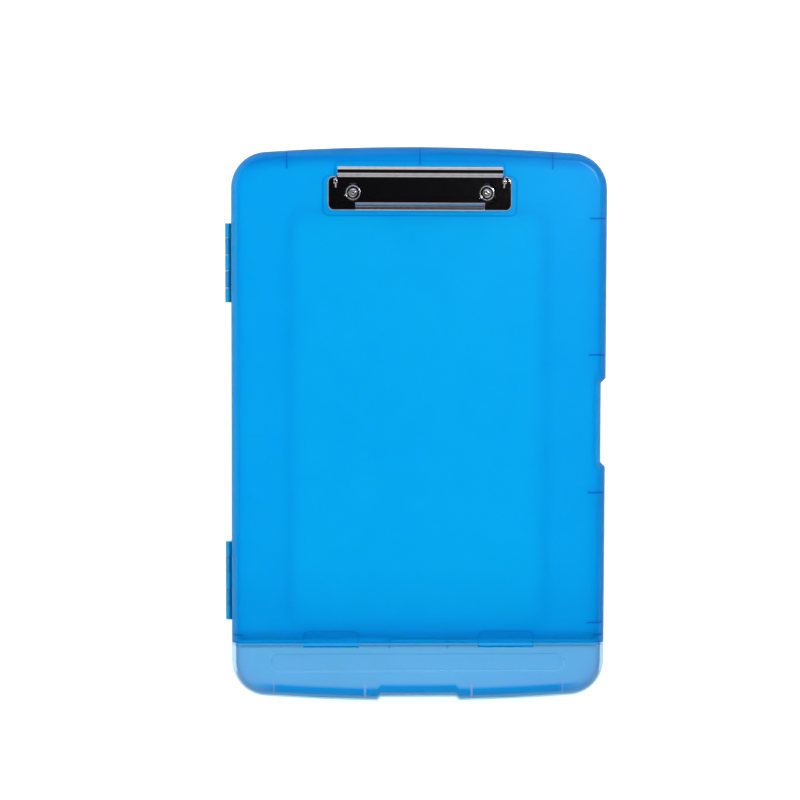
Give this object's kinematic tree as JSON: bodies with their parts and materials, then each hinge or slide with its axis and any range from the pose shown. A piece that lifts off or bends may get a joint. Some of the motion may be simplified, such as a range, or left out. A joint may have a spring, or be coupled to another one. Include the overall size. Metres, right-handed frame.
{
  "type": "storage clipboard box",
  "caption": "Shallow translucent document case with a hinged writing lid, a riveted low-profile clip on the lid and a separate hinged flap over a pen compartment.",
  "frame": {"origin": "on the flat panel of the case's back that it rests on, at the middle of the case in plan", "axes": "+X across the case from the hinges to the opening side, +Y up the page towards the clip, +Z out of the lid"},
  "size_m": [0.244, 0.3557, 0.0368],
  "materials": {
    "blue_plastic": "frosted, translucent polypropylene with a fine satin texture",
    "base_plastic": "frosted, translucent polypropylene with a fine satin texture",
    "frosted_plastic": "frosted, nearly clear polypropylene",
    "chrome_sheet": "bright chrome on pressed steel sheet",
    "plated_steel": "nickel-plated steel",
    "spring_steel": "drawn spring wire"
  },
  "bodies": {
    "case": {"base_tray": "base_plastic", "hinge_pin_upper": "plated_steel", "hinge_pin_lower": "plated_steel", "flap_pin_left": "base_plastic", "flap_pin_right": "base_plastic"},
    "lid": {"front_lid": "blue_plastic", "clip_base_plate": "chrome_sheet", "clip_pivot_rod": "plated_steel", "clip_spring_left": "spring_steel", "clip_spring_right": "spring_steel", "clip_rivet_left": "plated_steel", "clip_rivet_right": "plated_steel", "rivet_washer_left": "chrome_sheet", "rivet_washer_right": "chrome_sheet", "rivet_collar_left": "plated_steel", "rivet_collar_right": "plated_steel"},
    "lever": {"clip_lever": "chrome_sheet"},
    "flap": {"pen_flap": "frosted_plastic"}
  },
  "joints": [
    {"name": "lid_hinge", "type": "hinge", "parent": "case", "child": "lid", "pos_m": [-0.1212, 0, 0.0185], "axis": [0, -1, 0], "range_deg": [0, 180]},
    {"name": "flap_hinge", "type": "hinge", "parent": "case", "child": "flap", "pos_m": [0, -0.14085, 0.0264], "axis": [-1, 0, 0], "range_deg": [0, 95]},
    {"name": "lever_hinge", "type": "hinge", "parent": "lid", "child": "lever", "pos_m": [0, 0.1555, 0.0312], "axis": [-1, 0, 0], "range_deg": [0, 20], "stiffness_Nm_per_rad": 0.6, "springref_deg": -34.38}
  ]
}
